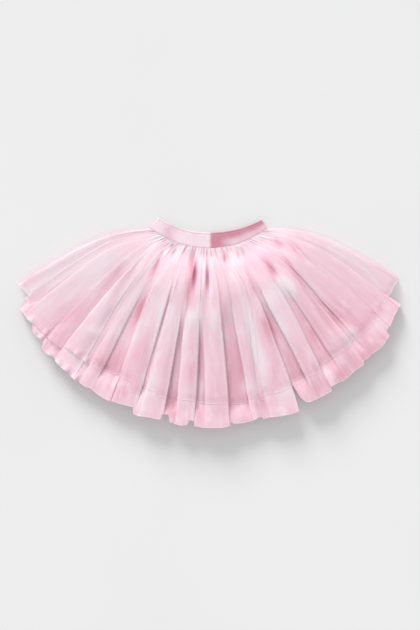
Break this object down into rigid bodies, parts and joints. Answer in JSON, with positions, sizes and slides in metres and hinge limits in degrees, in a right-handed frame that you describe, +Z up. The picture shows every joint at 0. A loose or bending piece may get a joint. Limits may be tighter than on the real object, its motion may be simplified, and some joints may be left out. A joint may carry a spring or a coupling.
{
  "type": "tulle skirt",
  "caption": "Child's gathered tulle skirt laid flat: a sheer outer layer over a longer under layer, fanned out from a curved elastic satin waistband, with soft folds and stepped hems.",
  "frame": {"origin": "middle of the skirt's outline, on the plane that it lies on", "axes": "+X from the skirt's left-hand side as seen to its right-hand side, +Y from the hem to the waistband, +Z up out of the skirt's front"},
  "size_m": [0.6051, 0.3368, 0.035],
  "materials": {
    "satin_band": "satin elastic, soft sheen, pale to dusty pink",
    "outer_tulle": "sheer pale pink tulle with a soft silky sheen",
    "under_tulle": "denser pink tulle with a soft silky sheen"
  },
  "bodies": {
    "root": {"waistband": "satin_band", "outer_front": "outer_tulle", "outer_back": "outer_tulle", "under_front": "under_tulle", "under_back": "under_tulle"}
  },
  "joints": []
}
